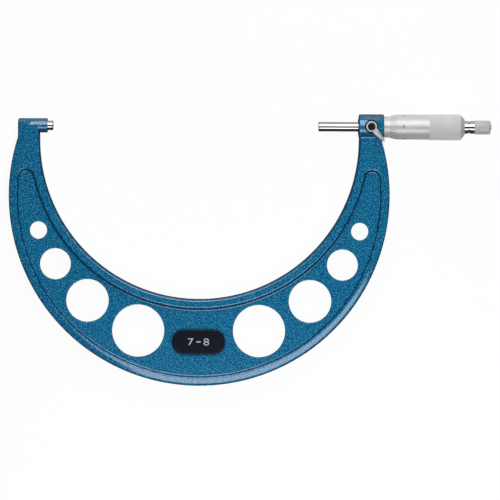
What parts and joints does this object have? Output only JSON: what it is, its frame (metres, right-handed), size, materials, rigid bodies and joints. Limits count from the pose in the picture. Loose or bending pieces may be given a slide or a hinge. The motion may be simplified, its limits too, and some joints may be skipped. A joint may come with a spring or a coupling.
{
  "type": "outside micrometer",
  "caption": "Large C-frame outside micrometer with spindle lock, graduated thimble and ratchet stop, lying on its back.",
  "frame": {"origin": "centre of the anvil's measuring face", "axes": "+X along the measuring axis from the anvil to the thimble, +Y from the bow of the frame to the measuring axis, +Z out of the front, the side with the lock lever and the name plate; the object lies on its back"},
  "size_m": [0.3234, 0.1828, 0.019],
  "materials": {
    "frame_enamel": "blue hammertone stove enamel",
    "black_plate": "black, fine satin",
    "ground_steel": "hardened and ground, bright",
    "carbide": "lapped tungsten carbide",
    "satin_chrome": "satin chrome plate, engraved lines filled black",
    "bright_steel": "bright turned and polished",
    "knob_steel": "satin chrome over fine straight knurl",
    "black_oxide": "black oxide",
    "lever_chrome": "satin chrome plate",
    "turned_steel": "turned, plain",
    "spring_steel": "drawn spring wire",
    "shoe_brass": "turned brass"
  },
  "bodies": {
    "frame_group": {"frame": "frame_enamel", "name_plate": "black_plate", "rear_plate": "black_plate", "anvil": "ground_steel", "anvil_carbide_tip": "carbide", "thread_sleeve": "turned_steel"},
    "scale_group": {"scale_sleeve": "satin_chrome"},
    "nut_group": {"adjusting_nut": "turned_steel"},
    "spindle_face_group": {"spindle_carbide_tip": "carbide"},
    "spindle_group": {"spindle": "ground_steel", "thimble": "satin_chrome", "ratchet_screw": "bright_steel", "ratchet_washer": "turned_steel", "ratchet_end_screw": "bright_steel"},
    "knob_group": {"ratchet_knob": "knob_steel"},
    "click_group": {"ratchet_ring": "turned_steel", "ratchet_spring": "spring_steel"},
    "shoe_group": {"lock_shoe": "shoe_brass"},
    "lever_group": {"lock_clamp_screw": "turned_steel", "lock_lever": "lever_chrome", "lock_cap_screw": "black_oxide"}
  },
  "joints": [
    {"name": "spindle_travel", "type": "slide", "parent": "frame_group", "child": "spindle_face_group", "axis": [1, 0, 0], "range_m": [-0.00032, 0.02572]},
    {"name": "spindle_turn", "type": "hinge", "parent": "spindle_face_group", "child": "spindle_group", "pos_m": [0.1778, 0, 0], "axis": [1, 0, 0], "range_deg": [-181, 14587]},
    {"name": "ratchet_slip", "type": "hinge", "parent": "spindle_group", "child": "knob_group", "pos_m": [0.28, 0, 0], "axis": [1, 0, 0], "continuous": true},
    {"name": "ratchet_click", "type": "slide", "parent": "spindle_group", "child": "click_group", "axis": [1, 0, 0], "range_m": [0, 0.0004], "stiffness_N_per_m": 200, "springref_m": -0.001, "deforming": ["ratchet_spring"]},
    {"name": "lock_press", "type": "slide", "parent": "frame_group", "child": "shoe_group", "axis": [0, 0, 1], "range_m": [-0.00009027, 0]},
    {"name": "lock_turn", "type": "hinge", "parent": "shoe_group", "child": "lever_group", "pos_m": [0.2132, 0, 0], "axis": [0, 0, 1], "range_deg": [-65.1, 0.1]},
    {"name": "zero_adjust", "type": "hinge", "parent": "frame_group", "child": "scale_group", "pos_m": [0.2375, 0, 0], "axis": [1, 0, 0], "range_deg": [-15, 15]},
    {"name": "play_adjust", "type": "hinge", "parent": "frame_group", "child": "nut_group", "pos_m": [0.2555, 0, 0], "axis": [1, 0, 0], "range_deg": [-45, 45]}
  ],
  "couplings": [
    {"joint": "spindle_turn", "follows": "spindle_travel", "rad_per_m": 9894.8},
    {"joint": "lock_turn", "follows": "lock_press", "rad_per_m": 12566}
  ]
}
